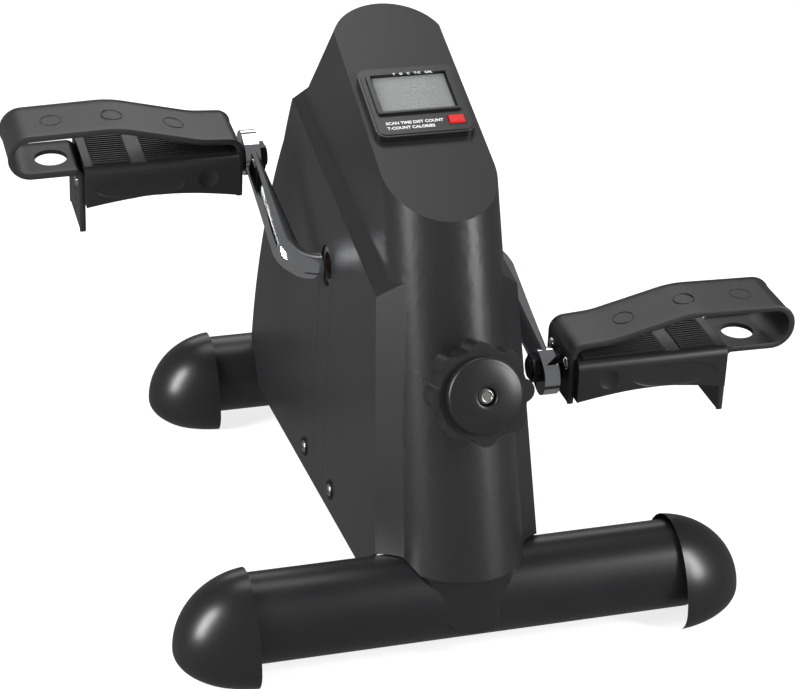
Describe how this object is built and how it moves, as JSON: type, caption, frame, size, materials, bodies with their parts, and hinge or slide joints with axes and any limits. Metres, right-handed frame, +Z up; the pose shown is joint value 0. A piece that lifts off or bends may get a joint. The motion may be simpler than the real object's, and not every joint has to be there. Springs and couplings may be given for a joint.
{
  "type": "pedal exerciser",
  "caption": "Under-desk pedal exerciser: black housing on two foot tubes, chrome one-piece crank, strapped pedals, tension knob and a small display on its slanted face.",
  "frame": {"origin": "on the floor, midway between the two foot tubes, on the middle plane", "axes": "+X to the right of someone facing the display, +Y from the knob and display side towards the back, +Z up"},
  "size_m": [0.4256, 0.4031, 0.3145],
  "materials": {
    "housing_plastic": "black injection-moulded plastic, fine satin grain",
    "cap_plastic": "black moulded end cap, semi-gloss",
    "painted_steel": "black powder coat, semi-gloss",
    "chrome_steel": "bright chrome plate",
    "zinc_steel": "bright zinc-plated steel",
    "dark_steel": "black oxide steel",
    "bronze": "sintered bronze",
    "knob_plastic": "black satin plastic",
    "pedal_plastic": "black moulded plastic",
    "strap_pvc": "black soft PVC, semi-gloss",
    "bezel_plastic": "black gloss plastic with white legends",
    "lens_clear": "clear acrylic window",
    "lcd_face": "dark grey-green liquid crystal display",
    "board_green": "green circuit board",
    "cell_label": "plain dry cell",
    "button_red": "red plastic",
    "sensor_black": "black sensor body",
    "magnet_grey": "nickel-plated magnet",
    "friction_felt": "hard brake felt"
  },
  "bodies": {
    "root": {"main_housing": "housing_plastic", "left_slot_cover": "housing_plastic", "right_slot_cover": "housing_plastic", "front_left_end_cap": "cap_plastic", "front_right_end_cap": "cap_plastic", "rear_left_end_cap": "cap_plastic", "rear_right_end_cap": "cap_plastic", "front_tube": "painted_steel", "rear_tube": "painted_steel", "frame_spine": "painted_steel", "front_saddle": "painted_steel", "left_upright": "painted_steel", "right_upright": "painted_steel", "screw_bracket": "painted_steel", "lever_bracket": "painted_steel", "cross_straps": "painted_steel", "left_bearing_housing": "zinc_steel", "right_bearing_housing": "zinc_steel", "bearing_rivets": "zinc_steel", "lever_pin": "zinc_steel", "left_crank_bush": "bronze", "right_crank_bush": "bronze", "slot_cover_screws": "dark_steel", "console_bezel": "bezel_plastic", "lcd_lens": "lens_clear", "lcd_panel": "lcd_face", "console_board": "board_green", "battery_holder": "sensor_black", "battery": "cell_label", "speed_sensor": "sensor_black"},
    "crank": {"crank_rod": "chrome_steel", "resistance_drum": "zinc_steel", "drum_set_screw": "dark_steel", "left_crank_collar": "zinc_steel", "right_crank_collar": "zinc_steel", "sensor_magnet": "magnet_grey", "left_pedal_spindle": "dark_steel", "left_pedal_lock_nut": "dark_steel", "left_spindle_nut": "zinc_steel", "right_pedal_spindle": "dark_steel", "right_pedal_lock_nut": "dark_steel", "right_spindle_nut": "zinc_steel"},
    "left_pedal": {"left_pedal_body": "pedal_plastic", "left_pedal_bushes": "bronze", "left_pedal_end_plug": "pedal_plastic", "left_strap_pegs": "chrome_steel", "left_pedal_strap": "strap_pvc"},
    "right_pedal": {"right_pedal_body": "pedal_plastic", "right_pedal_bushes": "bronze", "right_pedal_end_plug": "pedal_plastic", "right_strap_pegs": "chrome_steel", "right_pedal_strap": "strap_pvc"},
    "knob": {"tension_knob": "knob_plastic", "tension_screw": "zinc_steel", "screw_clips": "zinc_steel"},
    "nut": {"tension_nut": "zinc_steel"},
    "lever": {"brake_lever": "painted_steel", "brake_pad": "friction_felt"},
    "button": {"reset_button": "button_red"}
  },
  "joints": [
    {"name": "crank_spin", "type": "hinge", "parent": "root", "child": "crank", "pos_m": [0, -0.024, 0.172], "axis": [1, 0, 0], "continuous": true},
    {"name": "left_pedal_spin", "type": "hinge", "parent": "crank", "child": "left_pedal", "pos_m": [-0.069, 0.04605, 0.21836], "axis": [1, 0, 0], "continuous": true},
    {"name": "right_pedal_spin", "type": "hinge", "parent": "crank", "child": "right_pedal", "pos_m": [0.069, -0.09405, 0.12564], "axis": [1, 0, 0], "continuous": true},
    {"name": "knob_turn", "type": "hinge", "parent": "root", "child": "knob", "pos_m": [0, -0.1674, 0.1523], "axis": [0, 0.9685, -0.2492], "range_deg": [0, 720]},
    {"name": "nut_slide", "type": "slide", "parent": "root", "child": "nut", "axis": [0, 0.9685, -0.2492], "range_m": [0, 0.003]},
    {"name": "lever_swing", "type": "hinge", "parent": "root", "child": "lever", "pos_m": [0, -0.104, 0.062], "axis": [-1, 0, 0], "range_deg": [0, 2.08]},
    {"name": "button_press", "type": "slide", "parent": "root", "child": "button", "axis": [0, 0.4388, -0.8986], "range_m": [0, 0.0008], "stiffness_N_per_m": 600}
  ],
  "couplings": [
    {"joint": "nut_slide", "follows": "knob_turn", "m_per_rad": 0.00023873},
    {"joint": "lever_swing", "follows": "knob_turn", "ratio": 0.0028889}
  ]
}
